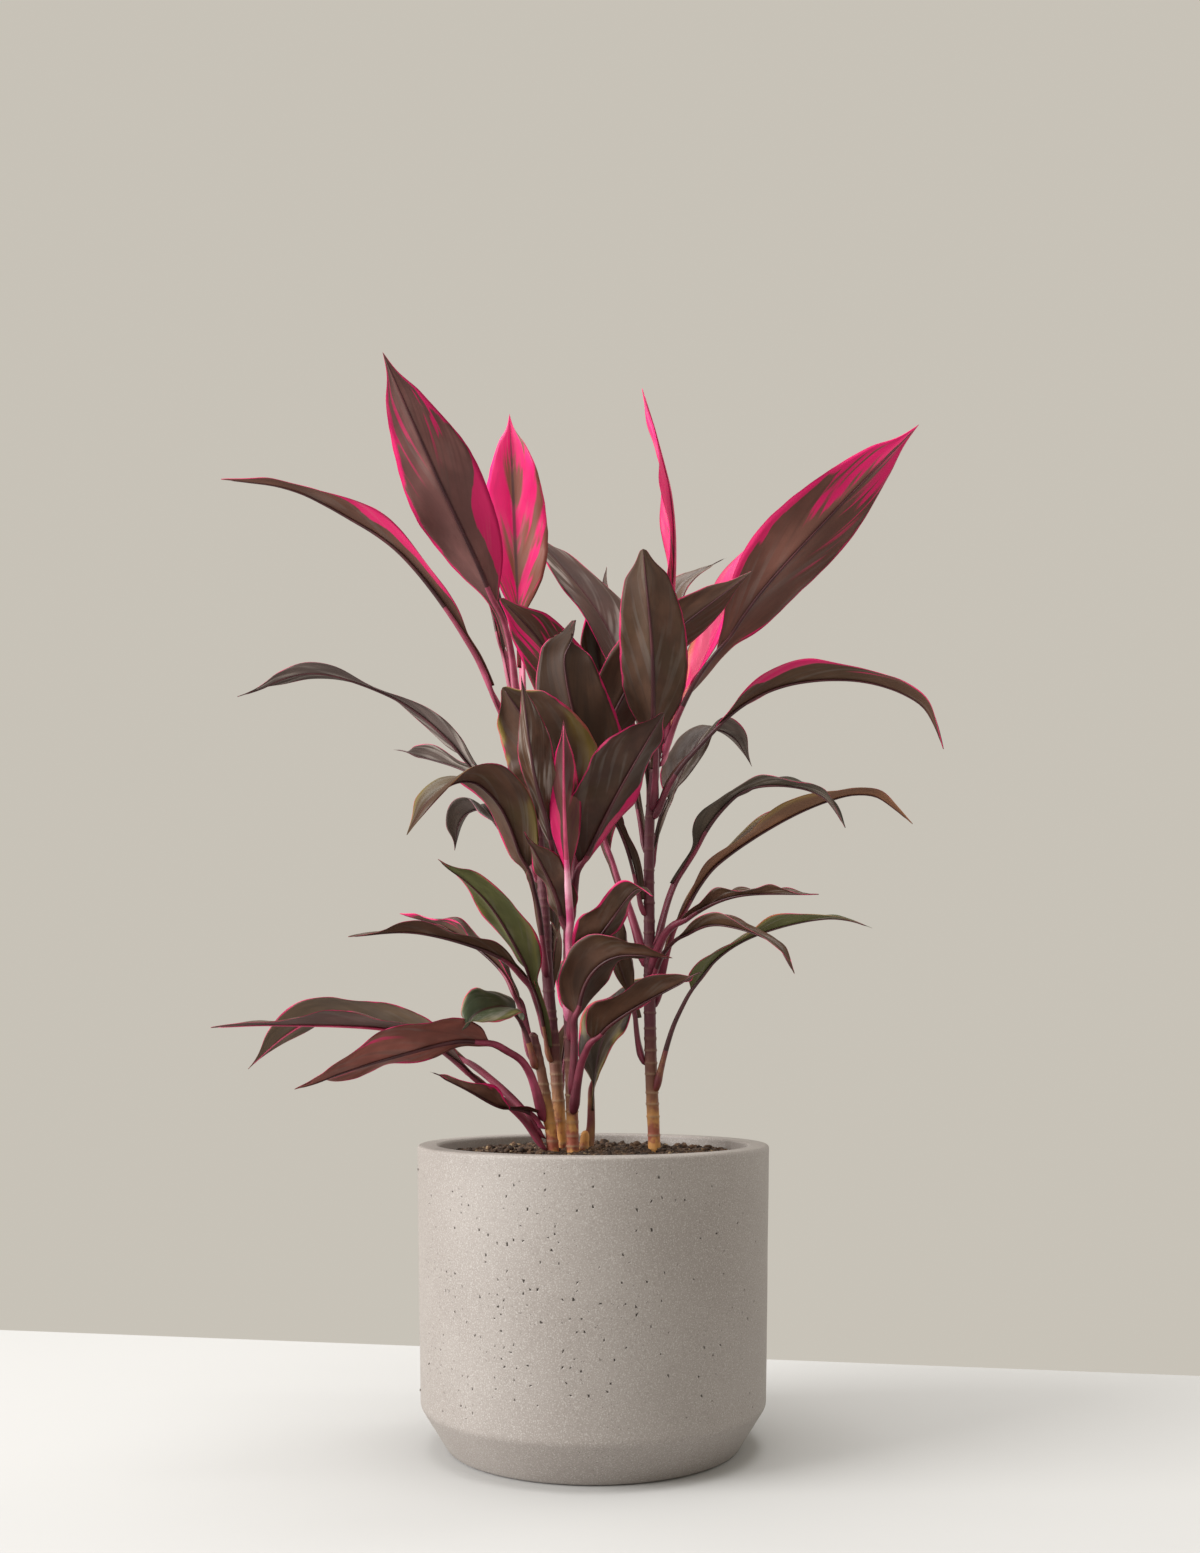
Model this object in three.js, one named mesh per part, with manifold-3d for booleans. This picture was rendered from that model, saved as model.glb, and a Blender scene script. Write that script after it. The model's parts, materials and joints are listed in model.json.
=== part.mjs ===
// A potted cordyline: four leafy canes and a young shoot growing out of one round planter.
// Millimetres, +Z up. The origin is the middle of the planter's flat underside.
import * as THREE from "three";
import { mergeVertices } from "three/addons/utils/BufferGeometryUtils.js";
import Module from "manifold-3d";

const wasm = await Module();
wasm.setup();

// Planter
const potRadius = 145; // outside, at the rim
const potHeight = 248;
const potTaper = 2.5; // how much the wall draws in between the rim and the chamfer
const potWall = 17.5;
const potFloor = 22;
const chamferHeight = 36;
const chamferInset = 22;
const edgeRound = 3; // rim edges
const footRound = 4; // above and below the chamfer

// Soil
const soilBelowRim = 9; // where the soil meets the wall
const soilCrown = 3; // how much higher it is in the middle

// Canes and leaves
const caneRadius = 5.2; // at the soil
const caneTipRadius = 3.4;
const caneBuried = 45; // how far each cane goes on below the soil
const foliageScale = 1; // size of every leaf, and of the heights that they grow from
const leafThickness = 2.2; // at the midrib
const petioleWidth = 7.5;
const petioleThickness = 4.2;

const touchGap = 0.3; // between pieces that touch
const leafGap = 0.8; // between leaves that pass each other

const soilLevel = potHeight - soilBelowRim;
const bore = potRadius - potWall;

const colours = {
  concrete: [0x9f978b, 0.85],
  soil: [0x2b211a, 1],
  cane: [0x6d4a35, 0.7],
  dark: [0x4a2c2a, 0.4],
  mauve: [0x7a4f50, 0.5],
  pink: [0xb03060, 0.45],
  green: [0x4c4a2a, 0.45],
};

function material(name) {
  const [color, roughness] = colours[name];
  return new THREE.MeshStandardMaterial({ color, roughness, metalness: 0, side: THREE.DoubleSide });
}

// Helpers

// A closed skin over rings of points, each ring going the same way round; single-point rings close an end.
function skin(rings) {
  const positions = [];
  const starts = rings.map((ring) => {
    const start = positions.length / 3;
    ring.forEach((p) => positions.push(p.x, p.y, p.z));
    return start;
  });
  const faces = [];
  for (let i = 0; i + 1 < rings.length; i++) {
    const [a, b] = [rings[i].length, rings[i + 1].length];
    const count = Math.max(a, b);
    for (let j = 0; j < count; j++) {
      const next = (j + 1) % count;
      if (a > 1) faces.push(starts[i] + j, starts[i] + next, starts[i + 1] + (b > 1 ? next : 0));
      if (b > 1) faces.push(starts[i] + (a > 1 ? j : 0), starts[i + 1] + next, starts[i + 1] + j);
    }
  }
  const geometry = new THREE.BufferGeometry();
  geometry.setAttribute("position", new THREE.Float32BufferAttribute(positions, 3));
  geometry.setIndex(faces);
  geometry.computeVertexNormals();
  return geometry;
}

function toSolid(geometry, offset = new THREE.Vector3()) {
  const bare = geometry.clone();
  bare.deleteAttribute("normal");
  bare.deleteAttribute("uv");
  const welded = mergeVertices(bare, 1e-4);
  const solid = new wasm.Manifold(new wasm.Mesh({
    numProp: 3,
    vertProperties: new Float32Array(welded.attributes.position.array),
    triVerts: new Uint32Array(welded.index.array),
  }));
  return solid.translate(offset.toArray());
}

function toGeometry(solid) {
  const mesh = solid.getMesh();
  const geometry = new THREE.BufferGeometry();
  geometry.setAttribute("position", new THREE.Float32BufferAttribute(mesh.vertProperties, 3));
  geometry.setIndex(Array.from(mesh.triVerts));
  geometry.computeVertexNormals();
  return geometry;
}

// A round rod along a curve, with domed ends; radiusAt takes the share of the way along.
function rod(curve, radiusAt, steps, sides = 10) {
  const rings = [];
  const across = new THREE.Vector3(1, 0, 0);
  for (let i = 0; i <= steps; i++) {
    const t = i / steps;
    const tangent = curve.getTangentAt(t);
    const centre = curve.getPointAt(t);
    const u = across.clone().addScaledVector(tangent, -across.dot(tangent)).normalize();
    const v = tangent.clone().cross(u);
    const ring = [];
    for (let j = 0; j < sides; j++) {
      const angle = (j / sides) * 2 * Math.PI;
      const spoke = u.clone().multiplyScalar(Math.cos(angle)).addScaledVector(v, Math.sin(angle));
      ring.push(centre.clone().addScaledVector(spoke, radiusAt(t)));
    }
    if (i === 0) rings.push([centre.clone().addScaledVector(tangent, -radiusAt(0) / 2)]);
    rings.push(ring);
    if (i === steps) rings.push([centre.clone().addScaledVector(tangent, radiusAt(1))]);
  }
  return skin(rings);
}

// The planter and its soil

// A profile of radius and height, turned about the planter's axis
function turned(profile) {
  return new THREE.LatheGeometry(profile, 64).rotateX(Math.PI / 2);
}

function roundCorner(points, corner, before, after, radius, steps = 3) {
  const from = corner.clone().add(before.clone().sub(corner).setLength(radius));
  const to = corner.clone().add(after.clone().sub(corner).setLength(radius));
  const curve = new THREE.QuadraticBezierCurve(from, corner, to);
  points.push(...curve.getPoints(steps));
}

function potGeometry() {
  const v = (r, z) => new THREE.Vector2(r, z);
  const chamferTop = potRadius - potTaper;
  const base = v(chamferTop - chamferInset, 0);
  const shoulder = v(chamferTop, chamferHeight);
  const rimOut = v(potRadius, potHeight);
  const rimIn = v(bore, potHeight);
  const floorCorner = v(bore - potTaper, potFloor);
  const profile = [v(0, 0)];
  roundCorner(profile, base, v(0, 0), shoulder, footRound);
  roundCorner(profile, shoulder, base, rimOut, footRound);
  roundCorner(profile, rimOut, shoulder, rimIn, edgeRound);
  roundCorner(profile, rimIn, rimOut, floorCorner, edgeRound);
  profile.push(floorCorner, v(0, potFloor));
  return turned(profile);
}

function soilGeometry(canes) {
  const v = (r, z) => new THREE.Vector2(r, z);
  const wallAt = (z) => bore - (potTaper * (potHeight - z)) / (potHeight - potFloor) - touchGap;
  const bottom = potFloor + touchGap;
  const slope = (t) => v(wallAt(soilLevel) * t, soilLevel + soilCrown * (1 - t * t));
  const profile = [v(0, bottom), v(wallAt(bottom), bottom), slope(1), slope(0.75), slope(0.5), slope(0)];
  let soil = toSolid(turned(profile));
  for (const cane of canes) soil = soil.subtract(toSolid(cane.geometryOf(touchGap)));
  return toGeometry(soil);
}

// Each cane's way up, from where it leaves the soil: x, y and height above the soil.
const caneRoutes = {
  cane_left: [[-33, -6, 0], [-38, -9, 40], [-44, -12, 75], [-49, -14, 98]],
  cane_tall: [[-27, 14, 0], [-30, 15, 50], [-38, 18, 140], [-44, 22, 240], [-52, 26, 320], [-62, 30, 385]],
  cane_centre: [[-17, -6, 0], [-18, -9, 50], [-20, -15, 120], [-21, -22, 212]],
  cane_right: [[51, 8, 0], [48, 11, 80], [47, 12, 170], [48, 12, 290], [57, 12, 360]],
  shoot: [[-8, 10, 0], [-7, 10, 16]],
};

function makeCane(name, route) {
  const points = route.map(([x, y, z]) => new THREE.Vector3(x, y, soilLevel + z * foliageScale));
  const buried = points[0].clone();
  buried.z -= caneBuried;
  const curve = new THREE.CatmullRomCurve3([buried, ...points], false, "centripetal");
  const steps = Math.max(4, Math.round(curve.getLength() / 22));
  const radiusAt = (t) => THREE.MathUtils.lerp(caneRadius, caneTipRadius, t * t);
  return {
    name,
    geometryOf: (extra) => rod(curve, (t) => radiusAt(t) + extra, steps),
    // Middle and radius of the cane at a height above the soil
    at(height) {
      const z = soilLevel + height * foliageScale;
      let [low, high] = [0, 1];
      for (let i = 0; i < 24; i++) {
        const middle = (low + high) / 2;
        if (curve.getPointAt(middle).z < z) low = middle;
        else high = middle;
      }
      return { centre: curve.getPointAt(low), radius: radiusAt(low) };
    },
  };
}

// The leaves of each cane, from the top down. A leaf is its name, the height that it grows from, its widest
// width, its colour and the points that its midrib passes, from the middle of the cane at that height. Then
// come what isn't usual about it: stalk, the share of its length that is leafstalk; fold, how far each half
// is raised, in degrees; roll, a turn about its midrib, in degrees.
const leaves = {
  cane_tall: [
    ["top_big", 380, 64, "mauve", [[-10, 0, 40], [-25, -20, 88], [-62, -84, 160], [-95, -155, 226]],
      { fold: 24, roll: 22 }],
    ["top_pink", 375, 54, "pink", [[-4, 12, 50], [-6, 25, 105], [-9, 38, 162], [-15, 62, 280]]],
    ["top_behind", 362, 34, "mauve", [[-12, 10, 55], [-28, 18, 165], [-58, 26, 268]]],
    ["left_arch", 340, 38, "mauve",
      [[-24, -14, 35], [-42, -30, 75], [-100, -66, 146], [-145, -74, 174], [-185, -85, 190],
        [-238, -90, 196]],
      { fold: 55 }],
    ["left_grey", 250, 28, "dark",
      [[-20, 5, 30], [-42, 10, 60], [-105, 12, 124], [-146, 8, 145], [-196, 0, 155],
        [-255, -6, 134]], { roll: 35 }],
    ["left_high", 240, 44, "dark",
      [[-20, 14, 30], [-42, 35, 66], [-70, 55, 92], [-145, 85, 120]], { roll: 30 }],
    ["left_hang", 210, 46, "dark",
      [[-18, 20, 36], [-38, 36, 66], [-58, 50, 88], [-76, 60, 80], [-82, 66, 54]]],
    ["left_fold", 160, 54, "dark",
      [[-8, -26, 46], [-20, -50, 86], [-35, -80, 120], [-56, -104, 134], [-80, -124, 120],
        [-100, -136, 88]], { fold: 25 }],
    ["back_small", 135, 36, "dark", [[5, 15, 30], [5, 30, 62], [-4, 60, 130], [-12, 72, 170]]],
    ["left_thin", 105, 26, "dark",
      [[-12, -14, 22], [-24, -30, 44], [-42, -50, 58], [-105, -80, 74], [-156, -90, 70]], { fold: 45 }],
    ["green_up", 88, 40, "green", [[-10, -20, 30], [-22, -42, 56], [-58, -90, 108], [-96, -130, 134]]],
    ["back_low", 60, 40, "dark", [[4, 16, 30], [12, 40, 62], [20, 96, 104], [24, 150, 84]]],
  ],
  cane_left: [
    ["left_red", 90, 32, "dark",
      [[-14, 5, 34], [-26, 14, 60], [-74, 40, 98], [-120, 60, 114]], { fold: 45 }],
    ["green_curl", 84, 38, "green",
      [[-12, -12, 22], [-22, -30, 36], [-44, -54, 32], [-56, -66, 18]], { fold: 20, roll: -36 }],
    ["low_red", 40, 40, "mauve",
      [[-12, -10, 26], [-30, -35, 44], [-54, -60, 54], [-110, -106, 40],
        [-172, -140, 18]], { roll: 48 }],
    ["low_back", 26, 46, "dark",
      [[-20, 4, 12], [-50, 14, 36], [-95, 22, 66], [-145, 30, 82], [-195, 35, 88],
        [-230, 40, 70], [-260, 45, 44]], { roll: 25 }],
    ["low_long", 10, 42, "dark",
      [[-18, -10, 16], [-45, -32, 38], [-75, -55, 68], [-102, -70, 84], [-196, -104, 90], [-246, -116, 88]],
      { fold: 40 }],
    ["low_broken", 46, 32, "mauve", [[-18, -20, 4], [-38, -42, 8], [-62, -62, 22], [-88, -82, 36]]],
  ],
  cane_centre: [
    ["centre_pink", 122, 30, "pink", [[3, -20, 40], [0, -45, 100], [-2, -68, 150], [-2, -95, 214]],
      { fold: 55, stalk: 0.46 }],
    ["centre_left", 206, 60, "dark",
      [[-2, -9, 36], [-6, -18, 75], [-15, -28, 108], [-50, -42, 160]], { roll: 45 }],
    ["centre_right", 200, 54, "dark", [[8, -15, 30], [20, -38, 60], [34, -60, 90], [62, -95, 142]],
      { stalk: 0.2 }],
    ["centre_gloss", 196, 42, "dark",
      [[-10, -18, 28], [-22, -45, 64], [-36, -70, 100], [-50, -102, 165]], { fold: 50 }],
    ["centre_to_right", 214, 46, "dark",
      [[10, 10, 50], [22, 25, 105], [40, 34, 160], [72, 24, 206], [150, -10, 262]], { roll: -52 }],
    ["centre_small", 104, 24, "dark", [[4, 12, 30], [10, 22, 58], [28, 30, 96]], { fold: 50 }],
    ["centre_edge", 150, 34, "dark", [[-4, -16, 30], [-10, -32, 56], [-36, -58, 104]], { fold: 35 }],
    ["front_pink_edge", 125, 42, "dark",
      [[6, -16, 30], [12, -36, 56], [26, -56, 82], [46, -76, 108], [56, -90, 102]]],
    ["front_long", 68, 42, "dark",
      [[5, -12, 30], [6, -26, 56], [16, -40, 84], [36, -52, 98], [80, -70, 96]], { roll: -20 }],
    ["front_low", 52, 44, "dark", [[6, -18, 30], [16, -42, 56], [36, -68, 76], [84, -112, 108]]],
  ],
  cane_right: [
    ["top_spear", 356, 46, "pink", [[5, 12, 50], [6, 28, 110], [2, 44, 210], [-14, 54, 310]], { fold: 66 }],
    ["top_right", 345, 68, "mauve",
      [[22, 5, 36], [50, 10, 76], [85, 10, 126], [136, 5, 182], [216, -10, 262]],
      { fold: 22, roll: -56 }],
    ["top_right_pink", 336, 56, "pink", [[18, 20, 36], [40, 35, 82], [64, 50, 132], [124, 72, 236]]],
    ["top_back", 330, 30, "dark", [[8, 36, 66], [15, 70, 135], [26, 96, 180], [72, 130, 220]]],
    ["tall_dark", 300, 54, "dark", [[0, -14, 30], [0, -40, 76], [-2, -60, 110], [-10, -90, 176]],
      { stalk: 0.2 }],
    ["right_arch", 292, 48, "dark",
      [[18, -10, 24], [44, -22, 48], [66, -36, 70], [100, -50, 86], [145, -60, 90],
        [182, -70, 82], [212, -80, 62], [226, -82, 30]]],
    ["back_gloss", 286, 60, "dark", [[-4, 30, 60], [-20, 60, 130], [-42, 90, 190], [-112, 136, 290]],
      { fold: 20 }],
    ["back_dark", 264, 40, "dark", [[-16, 45, 80], [-34, 84, 140], [-44, 110, 186], [-35, 145, 276]]],
    ["right_grey", 250, 46, "dark",
      [[14, 25, 40], [30, 55, 76], [46, 80, 110], [62, 95, 126], [82, 106, 120], [98, 112, 96]]],
    ["mid_round", 206, 58, "dark",
      [[-14, -5, 30], [-36, -14, 75], [-62, -20, 120], [-82, -34, 190], [-76, -46, 216]],
      { fold: 15, roll: 30 }],
    ["right_a", 186, 42, "dark",
      [[14, -10, 30], [35, -25, 64], [52, -36, 90], [76, -50, 110], [112, -64, 110],
        [136, -76, 98], [150, -85, 74]]],
    ["mid_left", 168, 54, "mauve",
      [[-14, 10, 30], [-30, 20, 66], [-42, 25, 126], [-52, 20, 186], [-90, -18, 254],
        [-122, -50, 282]], { roll: 52 }],
    ["right_c", 160, 30, "dark",
      [[12, -26, 20], [36, -50, 38], [66, -76, 48], [126, -106, 46]], { fold: 40 }],
    ["right_d", 146, 24, "dark",
      [[14, -42, 22], [34, -70, 36], [52, -90, 38], [92, -120, 20], [104, -130, -2]], { fold: 35 }],
    ["right_b", 134, 36, "dark",
      [[15, 6, 40], [35, 12, 80], [55, 15, 108], [140, 20, 160], [190, 22, 170],
        [226, 25, 146]], { fold: 45 }],
    ["right_cross", 86, 30, "dark",
      [[-10, 5, 30], [-22, 12, 60], [-40, 34, 116], [-34, 60, 100]], { fold: 40 }],
    ["right_low", 64, 42, "green",
      [[14, -10, 30], [30, -24, 66], [50, -36, 95], [80, -50, 114], [140, -74, 126], [170, -80, 118]]],
  ],
  shoot: [
    ["shoot_leaf", 12, 50, "green", [[5, 0, 30], [6, 4, 60], [16, 14, 95], [60, 34, 150]], { roll: 10 }],
  ],
};

const usualLeaf = { stalk: 0.28, fold: 30, roll: 0 };
const stalkFold = 55; // the leafstalk is a channel, its sides raised this far
const stalkReach = (petioleWidth / 2) * Math.sin(THREE.MathUtils.degToRad(stalkFold)); // and reach the cane
const leafSteps = 16;

// Width along the blade: broadest a little below the middle, drawn out to a point.
const bladeShare = (s) => Math.pow(Math.sin(Math.PI * Math.pow(s, 0.85)), 1.1);

function leafGeometry(points, width, { stalk, fold, roll }) {
  const curve = new THREE.CatmullRomCurve3(points, false, "centripetal");
  const heading = points[points.length - 1].clone().sub(points[0]);
  const across = new THREE.Vector3(heading.y, -heading.x, 0).normalize();
  const radians = THREE.MathUtils.degToRad;
  const rings = [];
  for (let i = 0; i < leafSteps; i++) {
    const t = i / leafSteps;
    const grown = Math.min(1, t / stalk); // how far along the leafstalk, then 1
    const s = Math.max(0, (t - stalk) / (1 - stalk)); // how far along the blade
    const tangent = curve.getTangentAt(t);
    const side = across.clone().addScaledVector(tangent, -across.dot(tangent)).normalize();
    side.applyAxisAngle(tangent, radians(roll * grown));
    const up = side.clone().cross(tangent);
    const bend = radians(Math.max(fold, stalkFold * (1 - grown)));
    const half = Math.max(petioleWidth, width * bladeShare(s)) / 2;
    const thick = THREE.MathUtils.lerp(petioleThickness, leafThickness, grown) / 2;
    const middle = curve.getPointAt(t);
    const edge = (sign) => middle.clone()
      .addScaledVector(side, sign * half * Math.cos(bend)).addScaledVector(up, half * Math.sin(bend));
    const ridge = (sign) => middle.clone().addScaledVector(up, sign * thick);
    rings.push([edge(-1), ridge(1), edge(1), ridge(-1)]);
  }
  rings.unshift([curve.getPointAt(0)]);
  rings.push([curve.getPointAt(1)]);
  return skin(rings);
}

// Putting the plant together

const group = new THREE.Group();
const placed = []; // the solid and box of every piece so far, and how near a leaf may come to it

function add(name, geometry, colour, gap = touchGap, position = new THREE.Vector3()) {
  const mesh = new THREE.Mesh(geometry, material(colour));
  mesh.name = name;
  mesh.position.copy(position);
  group.add(mesh);
  const solid = toSolid(geometry, position);
  placed.push({ solid, box: solid.boundingBox(), gap });
}

function isClear(solid) {
  const box = solid.boundingBox();
  for (const other of placed) {
    const room = (a, b, k) => a.min[k] - b.max[k] > other.gap;
    const apart = [0, 1, 2].some((k) => room(box, other.box, k) || room(other.box, box, k));
    if (!apart && solid.minGap(other.solid, other.gap) < other.gap) return false;
  }
  return true;
}

// The ways that a leaf may be moved to find room between the others, smallest first: a turn about its
// cane and a lean from it, in degrees, and a lift up the cane.
function listMoves() {
  const moves = [];
  for (let turn = -180; turn < 180; turn += 4) {
    for (let lean = -15; lean <= 15; lean += 3) {
      for (let lift = -24; lift <= 24; lift += 6) moves.push({ turn, lean, lift });
    }
  }
  const size = ({ turn, lean, lift }) => Math.hypot(turn, 2 * lean, lift);
  return moves.sort((a, b) => size(a) - size(b));
}

function growLeaf(cane, [name, height, width, colour, way, special], moves) {
  const shape = { ...usualLeaf, ...special };
  const radians = THREE.MathUtils.degToRad;
  for (const { turn, lean, lift } of moves) {
    const { centre, radius } = cane.at(height + lift);
    const points = way.map((p) => new THREE.Vector3(...p).multiplyScalar(foliageScale));
    points.forEach((p) => p.applyAxisAngle(new THREE.Vector3(0, 0, 1), radians(turn)));
    const outward = new THREE.Vector3(points[0].x, points[0].y, 0).normalize();
    const tip = points[points.length - 1];
    const hinge = new THREE.Vector3(-tip.y, tip.x, 0).normalize();
    points.forEach((p) => p.applyAxisAngle(hinge, radians(lean)));
    const foot = outward.clone().multiplyScalar(radius + leafGap + stalkReach);
    const geometry = leafGeometry([foot, ...points], width * foliageScale, shape);
    if (isClear(toSolid(geometry, centre))) return add(name, geometry, colour, leafGap, centre);
  }
  throw new Error(`${name} has no room`);
}

const canes = Object.entries(caneRoutes).map(([name, route]) => makeCane(name, route));
const moves = listMoves();
add("pot", potGeometry(), "concrete");
add("soil", soilGeometry(canes), "soil");
for (const cane of canes) add(cane.name, cane.geometryOf(0), "cane");
for (const cane of canes) {
  for (const leaf of leaves[cane.name]) growLeaf(cane, leaf, moves);
}

export default group;
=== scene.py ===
import bpy
import bmesh
import functools
import itertools
import json
import math
import random
from mathutils import Matrix, Vector, noise


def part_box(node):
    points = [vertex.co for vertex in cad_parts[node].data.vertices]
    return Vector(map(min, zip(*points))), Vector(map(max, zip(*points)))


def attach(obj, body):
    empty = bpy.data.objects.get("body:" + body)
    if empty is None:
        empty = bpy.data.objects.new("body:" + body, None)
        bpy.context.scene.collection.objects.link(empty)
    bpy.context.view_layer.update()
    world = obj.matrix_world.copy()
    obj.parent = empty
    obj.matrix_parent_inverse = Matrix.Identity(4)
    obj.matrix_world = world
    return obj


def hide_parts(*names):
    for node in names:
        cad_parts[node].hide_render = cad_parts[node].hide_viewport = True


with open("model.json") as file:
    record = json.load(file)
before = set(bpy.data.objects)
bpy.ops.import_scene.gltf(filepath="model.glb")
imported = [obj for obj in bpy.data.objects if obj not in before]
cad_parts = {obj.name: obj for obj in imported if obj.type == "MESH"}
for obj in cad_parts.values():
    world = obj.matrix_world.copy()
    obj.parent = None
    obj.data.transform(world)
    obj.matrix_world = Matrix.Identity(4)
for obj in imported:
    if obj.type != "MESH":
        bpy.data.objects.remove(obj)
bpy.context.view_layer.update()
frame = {"nodes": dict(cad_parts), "record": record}
chance = random.Random(11)
slotOf = {part["node"]: part["material_slot"] for part in frame["record"]["subparts"]}

potLow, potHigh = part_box("pot")
soilLow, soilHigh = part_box("soil")


# Camera, floor and lights

view = {
    "distance": 1.198,
    "sideways": 0.0055,
    "aboveRim": 0.081,
    "focal": 33.43,
    "sensor": 36,
    "rise": 0.1734,          # how far the frame is shifted up, so that uprights stay upright
    "clip": (0.05, 50),
}

room = {
    "top": (6.0, 3.4),           # width and depth of the table top
    "backEdge": 0.35,            # how far behind the planter it ends
    "below": 0.0005,             # under the planter's foot
    "turned": -10.2,             # degrees
    "floor": (0.505, 0.503, 0.50),
    "air": (0.575, 0.54, 0.475),
    "airStrength": 1.0,
    "lampsAim": 0.45,            # height
}

lights = {                   # place, width, height, watts, colour
    "window": ((-4.9, -1.75, 2.06), 3.2, 3.2, 440, (1.0, 0.995, 0.985)),
    "ceiling": ((-0.1, 0.0, 2.6), 1.8, 1.8, 58, (1.0, 0.995, 0.985)),
    "bounce": ((2.2, 1.5, 0.9), 0.9, 1.6, 9, (1.0, 0.99, 0.96)),
}


def makeCamera():
    data = bpy.data.cameras.new("camera")
    data.lens = view["focal"]
    data.sensor_width = view["sensor"]
    data.shift_y = view["rise"]
    data.clip_start, data.clip_end = view["clip"]
    camera = bpy.data.objects.new("camera", data)
    camera.location = (view["sideways"], -view["distance"], potHigh.z + view["aboveRim"])
    camera.rotation_euler = (math.pi / 2, 0, 0)
    bpy.context.scene.collection.objects.link(camera)
    bpy.context.scene.camera = camera


def makeLights():
    for name, (place, wide, high, watts, colour) in lights.items():
        data = bpy.data.lights.new(name, "AREA")
        data.shape = "RECTANGLE"
        data.size, data.size_y = wide, high
        data.energy, data.color = watts, colour
        lamp = bpy.data.objects.new(name, data)
        lamp.location = place
        towards = Vector((0, 0, room["lampsAim"])) - Vector(place)
        lamp.rotation_euler = towards.to_track_quat("-Z", "Y").to_euler()
        bpy.context.scene.collection.objects.link(lamp)
    world = bpy.data.worlds.new("air")
    world.use_nodes = True
    air = world.node_tree.nodes["Background"]
    air.inputs["Color"].default_value = (*room["air"], 1)
    air.inputs["Strength"].default_value = room["airStrength"]
    bpy.context.scene.world = world
    bpy.context.scene.view_settings.view_transform = "Standard"


# Shader sums: a wire is a socket that can stand in an expression

class Wire:
    def __init__(self, paint, socket):
        self.paint, self.socket = paint, socket

    def __add__(self, other):
        return self.paint.sum("ADD", self, other)

    def __radd__(self, other):
        return self.paint.sum("ADD", other, self)

    def __sub__(self, other):
        return self.paint.sum("SUBTRACT", self, other)

    def __rsub__(self, other):
        return self.paint.sum("SUBTRACT", other, self)

    def __mul__(self, other):
        return self.paint.sum("MULTIPLY", self, other)

    def __rmul__(self, other):
        return self.paint.sum("MULTIPLY", other, self)


class Paint:
    def __init__(self, name):
        self.material = bpy.data.materials.new(name)
        self.material.use_nodes = True
        self.tree = self.material.node_tree
        self.surface = self.tree.nodes["Principled BSDF"]

    def node(self, kind, settings=None, sockets=None, output=0):
        made = self.tree.nodes.new(kind)
        for key, value in (settings or {}).items():
            if key == "stops":
                ramp = made.color_ramp
                while len(ramp.elements) < len(value):
                    ramp.elements.new(0.5)
                for stop, (place, level) in zip(ramp.elements, value):
                    stop.position, stop.color = place, (level, level, level, 1)
            else:
                setattr(made, key, value)
        for key, value in (sockets or {}).items():
            self.put(made.inputs[key], value)
        return Wire(self, made.outputs[output])

    def put(self, socket, value):
        if isinstance(value, Wire):
            self.tree.links.new(value.socket, socket)
        elif isinstance(value, tuple) and len(value) == 3 and socket.type == "RGBA":
            socket.default_value = (*value, 1)
        else:
            socket.default_value = value

    def sum(self, operation, a, b):
        return self.node("ShaderNodeMath", {"operation": operation}, {0: a, 1: b})

    def sine(self, a):
        return self.node("ShaderNodeMath", {"operation": "SINE"}, {0: a})

    def distance(self, a):
        return self.node("ShaderNodeMath", {"operation": "ABSOLUTE"}, {0: a})

    def mix(self, share, a, b):
        return self.node("ShaderNodeMix", {"data_type": "RGBA"}, {0: share, 6: a, 7: b}, 2)

    def step(self, value, start, end):  # 0 before start, 1 after end, soft between
        settings = {"interpolation_type": "SMOOTHSTEP"}
        return self.node("ShaderNodeMapRange", settings, {0: value, 1: start, 2: end})

    def between(self, value, start, end):  # 1 from start to end, soft at both
        return self.step(value, start, start + 0.12) * (1 - self.step(value, end - 0.15, end))

    def place(self):
        return self.node("ShaderNodeTexCoord", None, None, 3)

    def along(self, uvName):  # across and along a piece
        uv = self.node("ShaderNodeUVMap", {"uv_map": uvName})
        return tuple(self.node("ShaderNodeSeparateXYZ", None, {0: uv}, part) for part in (0, 1))

    def point(self, x, y, z=0.0):
        return self.node("ShaderNodeCombineXYZ", None, {0: x, 1: y, 2: z})

    def cloud(self, where, scale, detail=3.0, rough=0.5):
        sockets = {"Vector": where, "Scale": scale, "Detail": detail, "Roughness": rough}
        return self.node("ShaderNodeTexNoise", None, sockets)

    def cells(self, where, scale):
        return self.node("ShaderNodeTexVoronoi", None, {"Vector": where, "Scale": scale})

    def bump(self, height, depth, strength=1.0):
        return self.node("ShaderNodeBump", None, {"Height": height, "Distance": depth, "Strength": strength})

    def finish(self, colour, roughness, normal=None, **fixed):
        self.put(self.surface.inputs["Base Color"], colour)
        self.put(self.surface.inputs["Roughness"], roughness)
        if normal:
            self.put(self.surface.inputs["Normal"], normal)
        for key, value in fixed.items():
            self.surface.inputs[key.replace("_", " ")].default_value = value
        return self.material


# Mesh helpers

def keepPiece(name, bm, materials, nodes, slotName):
    mesh = bpy.data.meshes.new(name)
    bm.to_mesh(mesh)
    bm.free()
    mesh.shade_smooth()
    for material in materials:
        mesh.materials.append(material)
    piece = bpy.data.objects.new(name, mesh)
    bpy.context.scene.collection.objects.link(piece)
    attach(piece, "root")
    if nodes:
        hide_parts(*nodes)
    return piece


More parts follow.
